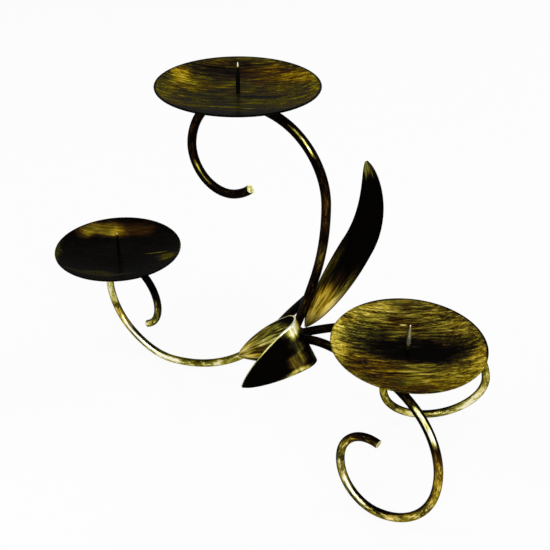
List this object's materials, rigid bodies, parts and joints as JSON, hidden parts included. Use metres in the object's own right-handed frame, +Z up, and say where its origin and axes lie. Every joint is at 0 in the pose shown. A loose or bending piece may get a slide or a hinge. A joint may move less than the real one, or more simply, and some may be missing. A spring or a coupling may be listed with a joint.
{
  "type": "candle stand",
  "caption": "Table-top candle stand of bent round bar: dishes with spikes at different heights, scrolled feet and two sheet leaves at the joint, black brushed with antique gold.",
  "frame": {"origin": "on the floor the stand rests on, under the middle of its bounding box", "axes": "+X from the low left dish towards the right dish, +Y away from the side with the folded leaf, +Z up"},
  "size_m": [0.3648, 0.1656, 0.2807],
  "materials": {
    "dish": "black paint dry-brushed with antique gold, satin",
    "spike": "black paint with brushed gold highlights, satin",
    "bar": "black paint dry-brushed with antique gold, satin",
    "leaf": "black paint dry-brushed with antique gold, satin",
    "weld": "black paint, satin"
  },
  "bodies": {
    "root": {"top_dish": "dish", "top_spike": "spike", "left_dish": "dish", "left_spike": "spike", "right_dish": "dish", "right_spike": "spike", "top_arm": "bar", "left_arm": "bar", "right_front_leg": "bar", "right_back_leg": "bar", "tall_leaf": "leaf", "folded_leaf": "leaf", "hub_weld": "weld", "arm_weld": "weld"}
  },
  "joints": []
}
